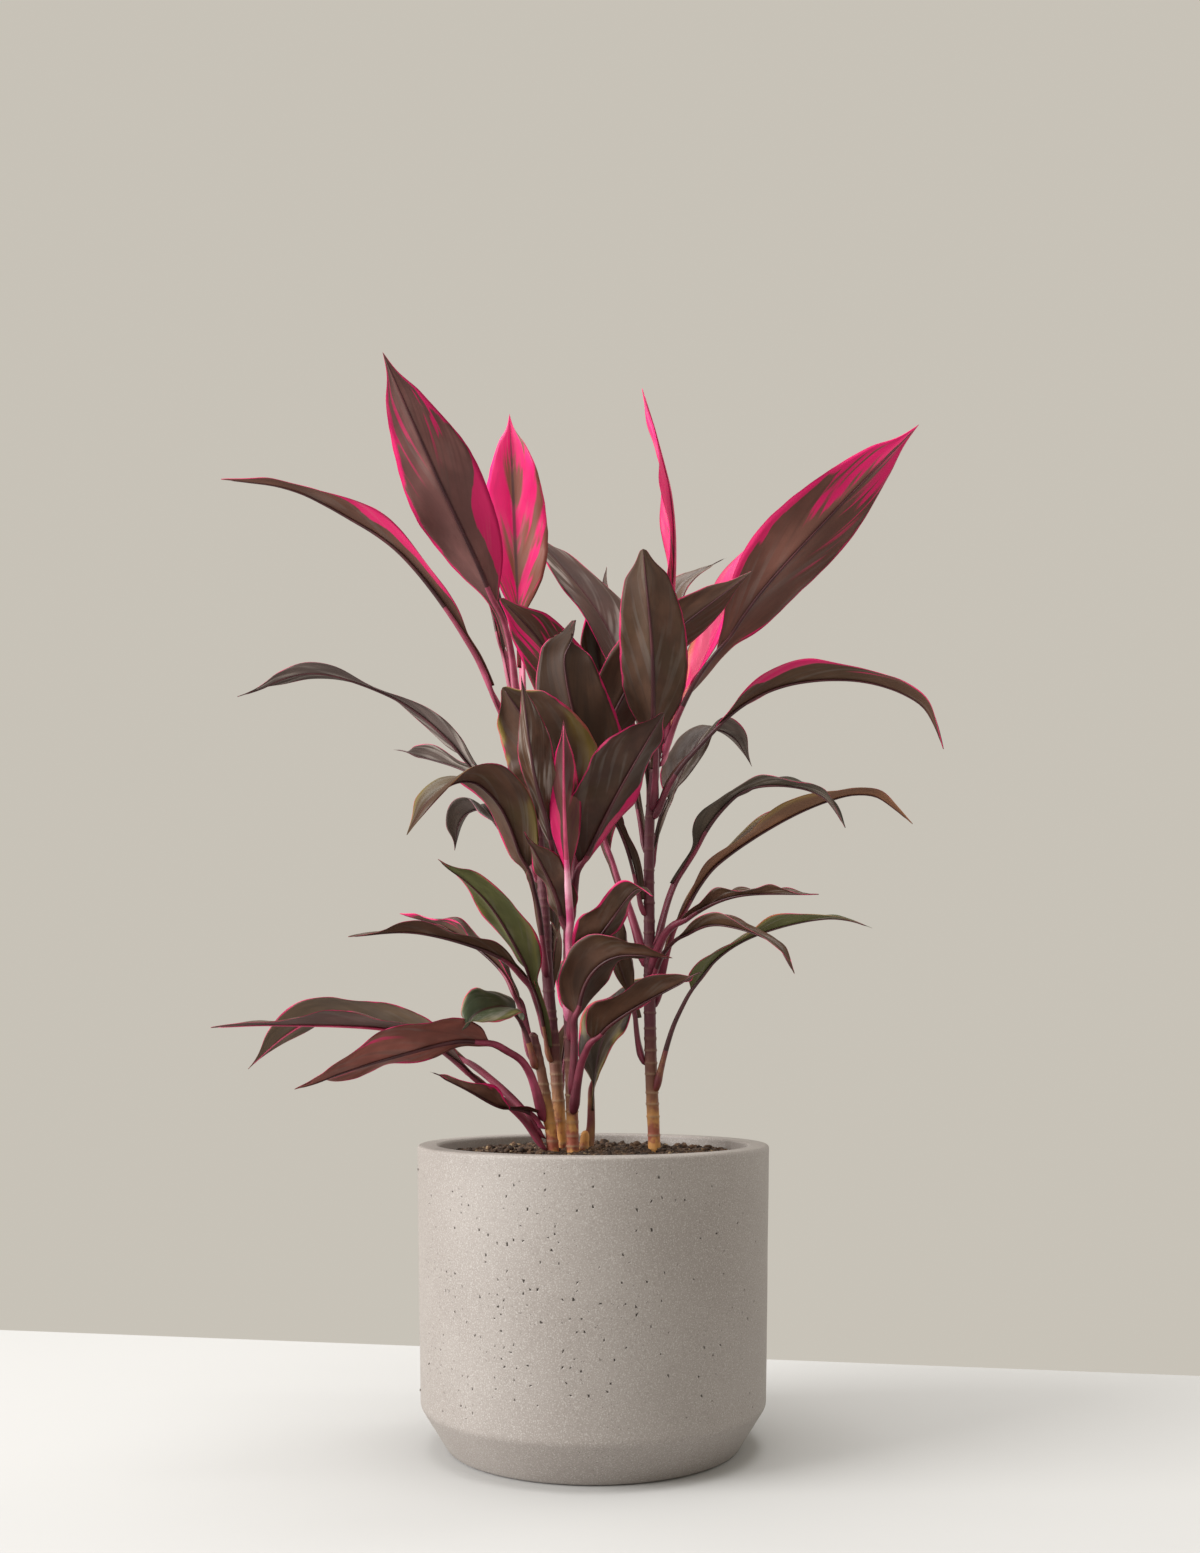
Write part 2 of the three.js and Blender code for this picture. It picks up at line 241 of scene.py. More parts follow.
def layGrid(bm, acrossSteps, alongSteps, place, uvLayer=None):  # place(u, v), both from 0 to 1
    made = bmesh.ops.create_grid(bm, x_segments=acrossSteps, y_segments=alongSteps, size=0.5)
    verts = made["verts"]
    share = {v: (v.co.x + 0.5, v.co.y + 0.5) for v in verts}
    faces = {f for v in verts for f in v.link_faces}
    if uvLayer:
        for face in faces:
            for loop in face.loops:
                loop[uvLayer].uv = share[loop.vert]
    for v in verts:
        v.co = place(*share[v])
    return verts, faces


def between(points, t):  # a smooth curve through evenly counted points
    last = len(points) - 1
    x = min(max(t, 0.0), 1.0) * last
    i = min(int(x), last - 1)
    f = x - i
    a, b, c, d = (points[min(max(i + k, 0), last)] for k in (-1, 0, 1, 2))
    curve = (2 * a - 5 * b + 4 * c - d) * f + (3 * b - a - 3 * c + d) * f * f
    return b + 0.5 * f * (c - a + curve)


def ringsOf(node, endEdges):  # the rings of a CAD solid that was drawn out along a curve, end to end
    bm = bmesh.new()
    bm.from_mesh(frame["nodes"][node].data)
    bmesh.ops.remove_doubles(bm, verts=bm.verts, dist=1e-5)
    ends = [v for v in bm.verts if len(v.link_edges) == endEdges]
    tip = max(ends, key=lambda v: min(e.calc_length() for e in v.link_edges))
    ring, seen, rings = {tip}, {tip}, []
    while ring:
        rings.append([v.co.copy() for v in sorted(ring, key=lambda v: tuple(v.co))])
        ring = {e.other_vert(v) for v in ring for e in v.link_edges} - seen
        seen |= ring
    bm.free()
    return rings[::-1]


# Planter

potLook = {
    "wall": 0.0175, "floor": 0.022, "chamfer": 0.036, "inset": 0.022, "taper": 0.0025,
    "softEdge": 0.0026, "around": 330,
    "tallWall": 0.19, "rows": 0.003, "coarseRows": 0.006,   # rows of faces: fine where pits go
    "ripple": 0.00018, "rippleScale": 22,
    "pits": {0.00114: 230, 0.00106: 230, 0.00096: 60},      # how far a pit's mouth is set in: how many
    "pitDepth": 0.0009, "pitLip": 0.0001, "pitScatter": 0.0009,
    "pitsAbove": 0.044, "pitsBelowRim": 0.012,
    "pitsGather": (-0.75, 0.125), "pitsSpread": (0.6, 0.07),  # angle from the front and height
    "pitPatches": 38, "pitsAnywhere": 0.07,
    "broad": 9, "grain": 980, "grit": 560, "shadedPinholes": 300, "spotPatches": 24, "relief": 0.0005,
    "stone": (0.275, 0.243, 0.222), "pale": (0.45, 0.42, 0.395), "shade": (0.17, 0.143, 0.125),
    # near-black painted into the pits and pinholes: painted shade of the holes
    "pitShadeColour": (0.05, 0.04, 0.033),
}


def concrete(name, paintedPitShade):
    look = potLook
    paint = Paint(name)
    where = paint.place()
    broad = paint.cloud(where, look["broad"], 3, 0.55)
    grain = paint.cloud(where, look["grain"], 1, 0.6)
    grit = paint.cloud(where, look["grit"], 2, 0.7)
    colour = paint.mix(paint.step(broad, 0.35, 0.7) * 0.16, look["stone"], look["pale"])
    colour = paint.mix(paint.step(grit, 0.48, 0.7) * 0.32, colour, look["shade"])
    colour = paint.mix(paint.step(grain, 0.52, 0.68) * 0.62, colour, look["pale"])
    # dark dots for tiny pinholes: painted shade of the holes, with a matching dip in the bump
    shadedPinholes = 1 - paint.step(paint.cells(where, look["shadedPinholes"]), 0.06, 0.16)
    shadedPinholes = shadedPinholes * paint.step(paint.cloud(where, look["spotPatches"], 2), 0.46, 0.6)
    colour = paint.mix(shadedPinholes * 0.6, colour, look["pitShadeColour"])
    # the pit faces are painted near-black: painted shade inside the pits
    if paintedPitShade:
        colour = paint.mix(0.9, colour, look["pitShadeColour"])
    height = grain * 0.35 + grit * 0.4 - shadedPinholes
    relief = paint.bump(height, look["relief"], 0.45)
    return paint.finish(colour, 0.5 + grain * 0.25, relief, Specular_IOR_Level=0.6)


def makePot():
    look = potLook
    rim, tall = potHigh.x, potHigh.z
    shoulder = rim - look["taper"]
    bore = rim - look["wall"]
    outline = [(0, 0), (shoulder - look["inset"], 0), (shoulder, look["chamfer"]), (rim, tall), (bore, tall),
               (bore - look["taper"], look["floor"]), (0, look["floor"])]
    bm = bmesh.new()
    corners = [bm.verts.new((r, 0, z)) for r, z in outline]
    for pair in zip(corners, corners[1:]):
        bm.edges.new(pair)
    bmesh.ops.bevel(bm, geom=corners[1:5], offset=look["softEdge"], segments=6, profile=0.5,
                    affect="VERTICES", material=-1)
    straights = [e for e in bm.edges if e.calc_length() > 0.01]
    for edge in sorted(straights, key=lambda e: (e.verts[0].co + e.verts[1].co).z):
        length = edge.calc_length()
        outside = max(v.co.x for v in edge.verts) > bore + 0.005
        spacing = look["rows"] if outside and length > look["tallWall"] else look["coarseRows"]
        cuts = max(2, round(length / spacing))
        bmesh.ops.subdivide_edges(bm, edges=[edge], cuts=cuts, use_grid_fill=False)
    bmesh.ops.spin(bm, geom=bm.verts[:] + bm.edges[:], cent=(0, 0, 0), axis=(0, 0, 1), angle=2 * math.pi,
                   steps=look["around"], use_merge=True)
    bmesh.ops.remove_doubles(bm, verts=bm.verts, dist=1e-6)
    bmesh.ops.recalc_face_normals(bm, faces=bm.faces)
    bm.normal_update()
    for v in bm.verts:
        if v.co.xy.length > bore + 0.002 and 0.01 < v.co.z < tall - 0.006:
            v.co += v.normal * look["ripple"] * noise.noise(v.co * look["rippleScale"])
    makePits(bm, rim, tall)
    # the second finish, on the pit faces, carries the painted shade of the pits
    materials = [concrete("concrete", False), concrete("concrete_pits_painted_shade", True)]
    keepPiece("pot_body", bm, materials, ["pot"], "concrete")


def makePits(bm, rim, tall):
    look = potLook
    bm.verts.index_update()
    wall = [f for f in bm.faces if f.calc_center_median().xy.length > rim - 0.004
            and look["pitsAbove"] < f.calc_center_median().z < tall - look["pitsBelowRim"]]
    wall.sort(key=lambda f: sorted(v.index for v in f.verts))    # the same order each time
    for v in sorted({v for f in wall for v in f.verts}, key=lambda v: v.index):
        along = Vector((-v.co.y, v.co.x, 0)).normalized()
        v.co += (along * chance.uniform(-1, 1) + Vector((0, 0, chance.uniform(-1, 1)))) * look["pitScatter"]
    taken = set()
    angle0, height0 = look["pitsGather"]
    wide, high = look["pitsSpread"]
    anywhere = look["pitsAnywhere"]
    for inset, count in look["pits"].items():
        chosen = []
        while len(chosen) < count:
            face = chance.choice(wall)
            middle = face.calc_center_median()
            turn = math.atan2(middle.x, -middle.y) - angle0
            turn = math.atan2(math.sin(turn), math.cos(turn))
            near = math.exp(-(turn / wide) ** 2 - ((middle.z - height0) / high) ** 2)
            patch = max(0.0, noise.noise(middle * look["pitPatches"]) + 0.1)
            if face in taken or chance.random() > anywhere + (1 - anywhere) * near * (0.12 + 2.2 * patch):
                continue
            taken.update(f for v in face.verts for f in v.link_faces)
            chosen.append(face)
        bmesh.ops.inset_individual(bm, faces=chosen, thickness=inset, depth=0)
        bmesh.ops.inset_individual(bm, faces=chosen, thickness=look["pitLip"], depth=-look["pitDepth"])
        # pit faces take the darkly painted finish: painted shade
        for face in chosen:
            face.material_index = 1


# Soil

soilLook = {
    "rings": 62, "around": 220, "batch": 80,
    "crown": 0.003, "lump": 0.0022, "lumpScale": 70, "grain": 0.0012, "grainScale": 260,
    "clumps": ((0.0022, 0.0044, 2, 240), (0.0008, 0.0022, 1, 1600)),  # smallest, largest, roundness, count
    "tucked": ((0.1, 0.0012), (soilLow.z, 0.0025)),     # heights, and how far in the side is there
    "caneGap": 0.0055,
    "dark": (0.030, 0.017, 0.011), "brown": (0.135, 0.075, 0.042), "straw": (0.36, 0.25, 0.14),
}


def soilHeight(x, y):
    edge = Vector((x, y)).length / soilHigh.x
    crown = soilHigh.z - soilLook["crown"] * edge * edge
    spot = Vector((x, y, 0.37))
    lumps = noise.noise(spot * soilLook["lumpScale"]) * soilLook["lump"]
    grains = noise.noise(spot * soilLook["grainScale"]) * soilLook["grain"]
    return crown + (lumps + grains) * min(1, (1.02 - edge) * 12) - 0.0005


def soilPaint():
    paint = Paint("potting_soil")
    where = paint.place()
    damp = paint.step(paint.cloud(where, 130, 4, 0.65), 0.38, 0.68)
    colour = paint.mix(damp, soilLook["dark"], soilLook["brown"])
    crumbs = paint.node("ShaderNodeTexVoronoi", None, {"Vector": where, "Scale": 330.0}, 1)
    pale = paint.node("ShaderNodeSeparateColor", None, {0: crumbs}, 0)
    colour = paint.mix(paint.step(pale, 0.93, 0.97) * 0.8, colour, soilLook["straw"])
    return paint.finish(colour, 0.95, paint.bump(paint.cloud(where, 700, 3, 0.7), 0.0008, 0.8))


def addClumps(bed, smallest, largest, roundness, count, caneSpots):
    bm = bmesh.new()
    for _ in range(count):
        size = smallest + (largest - smallest) * chance.random() ** 2
        reach, turn = (soilHigh.x - size) * math.sqrt(chance.random()), chance.uniform(0, 2 * math.pi)
        x, y = reach * math.cos(turn), reach * math.sin(turn)
        if any((Vector((x, y)) - spot).length < gap + size for spot, gap in caneSpots):
            continue
        spot = Matrix.Translation((x, y, soilHeight(x, y) + size * 0.25))
        lump = bmesh.ops.create_icosphere(bm, subdivisions=roundness, radius=size, matrix=spot)["verts"]
        stretch = Vector((chance.uniform(0.7, 1.3), chance.uniform(0.7, 1.3), chance.uniform(0.5, 0.9)))
        for v in lump:
            out = v.co - spot.translation
            out *= 1 + 0.55 * noise.noise(v.co * 320)
            v.co = spot.translation + out * stretch
    mesh = bpy.data.meshes.new("clumps")
    bm.to_mesh(mesh)
    bm.free()
    bed.from_mesh(mesh)
    bpy.data.meshes.remove(mesh)


def makeSoil(caneSpots):
    look = soilLook
    radius = soilHigh.x
    bm = bmesh.new()
    middle = bm.verts.new((0, 0, soilHigh.z))
    rim = bm.verts.new((radius, 0, soilHigh.z))
    spoke = bm.edges.new((middle, rim))
    bmesh.ops.subdivide_edges(bm, edges=[spoke], cuts=look["rings"])
    bmesh.ops.spin(bm, geom=bm.verts[:] + bm.edges[:], cent=(0, 0, 0), axis=(0, 0, 1), angle=2 * math.pi,
                   steps=look["around"], use_merge=True)
    bmesh.ops.remove_doubles(bm, verts=bm.verts, dist=1e-6)
    border = [e for e in bm.edges if e.is_boundary]
    for v in bm.verts:
        v.co.z = soilHeight(v.co.x, v.co.y)
    for height, inward in look["tucked"]:   # the sides, drawn in like the planter's bore
        made = bmesh.ops.extrude_edge_only(bm, edges=border)["geom"]
        for v in (g for g in made if isinstance(g, bmesh.types.BMVert)):
            v.co = Vector((*(v.co.xy.normalized() * (radius - inward)), height))
        border = [g for g in made if isinstance(g, bmesh.types.BMEdge)]
    bmesh.ops.contextual_create(bm, geom=border)
    bmesh.ops.recalc_face_normals(bm, faces=bm.faces)
    for smallest, largest, roundness, count in look["clumps"]:
        while count > 0:
            count -= look["batch"]
            addClumps(bm, smallest, largest, roundness, look["batch"], caneSpots)
    keepPiece("soil_bed", bm, [soilPaint()], ["soil"], "soil")


# Canes

caneLook = {
    "around": 20, "step": 0.0012,
    "scarGap": (0.006, 0.019), "scarHeight": 0.13, "scarWidth": 0.0008,
    "wobble": 0.05, "wobbleScale": 160,
    "barkFrom": (0.03, 0.075), "youngFrom": (0.06, 0.13), "scarsFade": (0.03, 0.16),  # heights above soil
    "base": (0.64, 0.31, 0.09), "rust": (0.36, 0.09, 0.05), "bark": (0.20, 0.085, 0.045),
    "young": (0.105, 0.020, 0.032), "scar": (0.40, 0.28, 0.17),
}


def canePaint():
    paint = Paint("cane_bark")
    where = paint.place()
    height = paint.node("ShaderNodeSeparateXYZ", None, {0: where}, 2)
    patches = paint.cloud(where, 60, 3, 0.6)
    rise = height + patches * 0.04 - soilHigh.z
    colour = paint.mix(paint.step(patches, 0.45, 0.6), caneLook["base"], caneLook["rust"])
    colour = paint.mix(paint.step(rise, *caneLook["barkFrom"]), colour, caneLook["bark"])
    colour = paint.mix(paint.step(rise, *caneLook["youngFrom"]), colour, caneLook["young"])
    scars = paint.along("cane")[0]
    ridge = paint.node("ShaderNodeAttribute", {"attribute_name": "scar"}, None, 2)
    fading = 1 - paint.step(rise, *caneLook["scarsFade"]) * 0.85
    broken = paint.step(patches + scars * 0.2, 0.4, 0.7)
    colour = paint.mix(ridge * fading * broken * 0.75, colour, caneLook["scar"])
    fibres = paint.cloud(paint.node("ShaderNodeMapping", None, {0: where, 3: (900, 900, 90)}), 1.0, 2)
    return paint.finish(colour, 0.6 + fibres * 0.15, paint.bump(fibres + patches, 0.0006, 0.6))


def caneLine(node):  # middles and radii from the bottom up
    rings = ringsOf(node, 10)
    if rings[0][0].z > rings[-1][0].z:
        rings = rings[::-1]
    middles = [sum(ring, Vector()) / len(ring) for ring in rings]
    radii = [sum((p - m).length for p in ring) / len(ring) for ring, m in zip(rings, middles)]
    radii[0], radii[-1] = 0.0, 0.0
    return middles, radii


def makeCane(node, line, bark):
    middles, radii = line
    length = (middles[-1] - middles[0]).length
    scars, at = [], soilHigh.z - 0.004
    while at < middles[-1].z:
        scars.append(at)
        at += chance.uniform(*caneLook["scarGap"])
    bm = bmesh.new()
    uvLayer = bm.loops.layers.uv.new("cane")
    scarLayer = bm.verts.layers.float.new("scar")

    def ridge(z):
        near = min(abs(z - s) for s in scars)
        return math.exp(-(near / caneLook["scarWidth"]) ** 2)

    def place(u, v):
        middle, radius = between(middles, v), max(0.0, between(radii, v))
        spot = middle * caneLook["wobbleScale"] + Vector((u, 0, 0))
        wobble = 1 + caneLook["wobble"] * noise.noise(spot)
        radius *= wobble * (1 + caneLook["scarHeight"] * ridge(middle.z))
        turn = 2 * math.pi * u
        return middle + Vector((math.cos(turn), math.sin(turn), 0)) * radius

    verts, _ = layGrid(bm, caneLook["around"], round(length / caneLook["step"]), place, uvLayer)
    for v in verts:
        v[scarLayer] = ridge(v.co.z)
    bmesh.ops.remove_doubles(bm, verts=bm.verts, dist=1e-6)
    bmesh.ops.recalc_face_normals(bm, faces=bm.faces)
    keepPiece(node + "_stem", bm, [bark], [node], "cane")


# Leaves

# top, under: colours of the two faces; edge: how far in the pink margins go, lower or left one first;
# flood: where along the leaf the pink fills it; band, lowBand: from where to where the second or the first
# margin's pink spreads, and by how much; pinch: where the blade turns edge-on, how far and how much

leafKinds = {
    "leaf_dark": dict(hair=0.4, top=(0.050, 0.022, 0.0095), under=(0.062, 0.028, 0.016),
                      edge=(0.0, 0.01), flood=2.0, streaks=0.0, olive=0.12, yellow=0.0, brown=0.0,
                      gloss=0.36),
    "leaf_mauve": dict(top=(0.044, 0.016, 0.008), under=(0.085, 0.034, 0.022), edge=(0.05, 0.09),
                       flood=1.2, streaks=0.4, olive=0.0, yellow=0.0, brown=0.0, gloss=0.40),
    "leaf_pink": dict(top=(0.07, 0.012, 0.018), under=(0.10, 0.028, 0.032), edge=(0.12, 0.22),
                      flood=0.6, streaks=0.7, olive=0.0, yellow=0.0, brown=0.2, gloss=0.38),
    "leaf_green": dict(top=(0.030, 0.038, 0.010), under=(0.075, 0.078, 0.025), edge=(0.04, 0.05),
                       flood=2.0, streaks=0.0, olive=0.8, yellow=0.2, brown=0.0, gloss=0.36),
}
leafLooks = {    # what isn't usual for its kind
    "top_big": dict(edge=(0.10, 0.14), streaks=0.6, flood=1.05, band=(0.22, 0.62, 0.5),
                    under=(0.128, 0.052, 0.047)),
    "top_pink": dict(wide=1.1, flood=-0.6, streaks=1.0, edge=(0.3, 0.3), brown=0.85),
    "top_right": dict(edge=(0.02, 0.08), flood=0.80, streaks=1.0, band=(0.40, 1.2, 0.2),
                      under=(0.100, 0.039, 0.028)),
    "top_right_pink": dict(wide=1.15, flood=-0.3, streaks=1.0, edge=(0.3, 0.3), yellow=0.5, brown=0.3),
    "top_spear": dict(flood=0.42, edge=(0.45, 0.3), streaks=0.8, midrib="pink"),
    "left_arch": dict(wide=0.85, edge=(0.04, 0.10), streaks=0.1, band=(0.22, 0.7, 0.35)),
    "right_arch": dict(edge=(0.08, 0.12), streaks=0.1, band=(0.2, 0.75, 0.5), lowBand=(0.35, 0.8, 0.4)),
    "centre_pink": dict(edge=(0.10, 0.08), flood=2.0, streaks=0.1, stalk="bright", midrib="pink",
                        under=(0.085, 0.024, 0.024), wide=1.3, lowBand=(0.15, 0.72, 0.6),
                        rib=(0.45, 0.03, 0.11)),
    "centre_left": dict(wide=1.3, tipFull=0.5, yellow=0.35, edge=(0.0, 0.0), top=(0.042, 0.020, 0.008)),
    "centre_right": dict(wide=1.25, edge=(0.03, 0.02), top=(0.031, 0.011, 0.005),
                         under=(0.038, 0.014, 0.008), lowBand=(0.1, 0.62, 0.3), tipFull=0.5),
    "left_high": dict(hair=0.1, pinch=(0.66, 0.10, 0.6), shine=0.2, paintedSheenShare=0.7, veins=2.5, pleat=1.5,
                      edge=(0, 0), streaks=0.0, top=(0.034, 0.024, 0.018), under=(0.06, 0.042, 0.036)),
    "left_grey": dict(hair=0.1, wide=0.95, pinch=(0.62, 0.13, 0.7), paintedSheenShare=0.75, shine=0.2, edge=(0, 0),
                      streaks=0.0, top=(0.036, 0.026, 0.022), under=(0.07, 0.05, 0.045)),
    "left_hang": dict(hair=0.1, edge=(0, 0), streaks=0.0, top=(0.045, 0.032, 0.026),
                      under=(0.09, 0.066, 0.056)),
    "right_grey": dict(hair=0.1, shine=0.15, paintedSheenShare=0.5, edge=(0, 0), streaks=0.0,
                       top=(0.060, 0.036, 0.026), under=(0.10, 0.075, 0.065)),
    "right_a": dict(hair=0.1, pinch=(0.60, 0.10, 0.7), paintedSheenShare=0.4, shine=0.2, edge=(0, 0), streaks=0.0,
                    top=(0.036, 0.028, 0.018), under=(0.06, 0.045, 0.033)),
    "tall_dark": dict(wide=1.08, tipFull=0.42, top=(0.060, 0.028, 0.015), under=(0.062, 0.029, 0.016)),
    "mid_round": dict(tipFull=0.45, wide=1.05, top=(0.036, 0.014, 0.005), under=(0.038, 0.015, 0.006)),
    "mid_left": dict(tipFull=0.5, wide=1.15),
    "centre_to_right": dict(wide=1.2, tipFull=0.75),
    "centre_gloss": dict(gloss=0.25, pleat=1.8, veins=3, paintedSheenShare=0.6, top=(0.034, 0.016, 0.008),
                         rib=(0.10, 0.05, 0.045)),
    "back_gloss": dict(gloss=0.5, shine=0.1, veins=3, paintedSheenShare=0.55, edge=(0.0, 0.03), wide=1.3,
                       top=(0.046, 0.020, 0.014)),
    "left_red": dict(edge=(0.10, 0.16), flood=0.95, streaks=0.4),
    "low_red": dict(wide=1.15, edge=(0.0, 0.03), under=(0.15, 0.045, 0.034), top=(0.12, 0.034, 0.026)),
    "low_back": dict(wide=1.15, edge=(0.0, 0.02), under=(0.078, 0.048, 0.028),
                     top=(0.062, 0.036, 0.018), rib=(0.40, 0.03, 0.08), midrib="pink"),
    "low_long": dict(wide=0.85, edge=(0.0, 0.02), under=(0.09, 0.048, 0.042), rib=(0.45, 0.03, 0.09),
                     midrib="pink"),
    "low_broken": dict(edge=(0.05, 0.15), flood=1.0),
    "left_fold": dict(yellow=0.2, olive=0.4),
    "green_up": dict(top=(0.024, 0.042, 0.008), olive=0.3),
    "green_curl": dict(wide=1.1, top=(0.030, 0.040, 0.018), under=(0.04, 0.05, 0.022), olive=0.2,
                       paintedSheenShare=0.3, edge=(0.0, 0.0)),
    "right_b": dict(yellow=0.3, under=(0.17, 0.075, 0.04)),
    "right_c": dict(paintedSheenShare=0.5, wide=0.7, edge=(0.0, 0.02)),
    "right_d": dict(edge=(0.0, 0.02)),
    "right_low": dict(paintedSheenShare=0.5, pinch=(0.58, 0.09, 0.6), wide=0.85, yellow=0.5,
                      top=(0.07, 0.075, 0.02)),
    "shoot_leaf": dict(yellow=0.4, olive=0.15, top=(0.034, 0.020, 0.012)),
    "front_pink_edge": dict(edge=(0.06, 0.14), tipFull=0.75),
    "front_long": dict(wide=1.2, tipFull=0.75, edge=(0, 0)),
    "front_low": dict(wide=1.2, tipFull=0.75, edge=(0.10, 0.0)),
}
pinkLook = {"above": (0.78, 0.003, 0.155), "below": (0.66, 0.005, 0.125)}
leafUsual = {
    "wide": 1, "baseFull": 0.75, "tipFull": 0.9, "pleat": 1, "pinch": (0, 1, 0),
    # sheen: how strong the painted sheen streaks are, a highlight painted into the colour
    "hair": 0.7, "veins": 1, "paintedSheenShare": 0.12, "shine": 0.3, "midrib": "dark",
}
leafLook = {
    "across": 14, "along": 84, "thick": 0.0006, "stalkAround": 10, "stalkAlong": 60,
    "crown": 0.10, "wave": 0.0036, "ripple": 0.0016, "pleat": 0.0007, "ragged": 0.02,
    "drip": 0.5, "dripFrom": 0.88, "dripLong": 0.1, "wide": 1.10, "flatten": 0.3,
    "stalk": (0.0042, 0.0029, 0.0004),                  # radius at the cane, at the blade and near the tip
    "claspDown": 0.014, "claspIn": 0.0022, "easedOver": (1, 2, 3, 2, 1),
    "upright": 0.35,                                    # a run of less than this aside for each metre up
    "veinsAlong": 165, "veinsAcross": 745, "relief": 0.0005,
    "olive": (0.075, 0.066, 0.018), "straw": (0.45, 0.33, 0.05), "brown": (0.13, 0.075, 0.025),
    # silver: colour of the painted sheen streaks
    "paintedSheenStreaks": (0.36, 0.31, 0.28), "ribAbove": (0.050, 0.010, 0.013), "ribBelow": (0.045, 0.009, 0.012),
}


def leafRails(node):         # middle, edges and upward direction of a CAD leaf, from base to tip
    rows = ringsOf(node, 4)
    if len(rows[1]) != 4 or (rows[0][0] - rows[1][0]).length > (rows[-1][0] - rows[-2][0]).length:
        rows = rows[::-1]
    tip, rows = rows[-1][0], rows[1:-1]

    def directions(row):
        centre = sum(row, Vector()) / 4
        return [(p - centre).normalized() for p in row]

    def inOrder(row, model):  # the way round that best follows the row before
        ways = itertools.permutations(row)
        return list(max(ways, key=lambda way: sum(a.dot(b) for a, b in zip(directions(way), model))))

    spans = [max((a - b).length for a in row for b in row) for row in rows]
    widest = spans.index(max(spans))
    row = rows[widest]
    left, right = max(((a, b) for a in row for b in row), key=lambda pair: (pair[0] - pair[1]).length)
    chord = (left + right) / 2
    top, keel = sorted((p for p in row if p not in (left, right)), key=lambda p: (p - chord).length)
    rows[widest] = [left, top, right, keel]
    for i in range(widest + 1, len(rows)):
        rows[i] = inOrder(rows[i], directions(rows[i - 1]))
    for i in range(widest - 1, -1, -1):
        rows[i] = inOrder(rows[i], directions(rows[i + 1]))
    middles = [(row[1] + row[3]) / 2 for row in rows] + [tip]
    lefts = [row[0] for row in rows] + [tip]
    rights = [row[2] for row in rows] + [tip]
    ups = [((row[0] + row[2]) / 2 - (row[1] + row[3]) / 2).normalized() for row in rows]
    return middles, lefts, rights, ups + [ups[-1]]


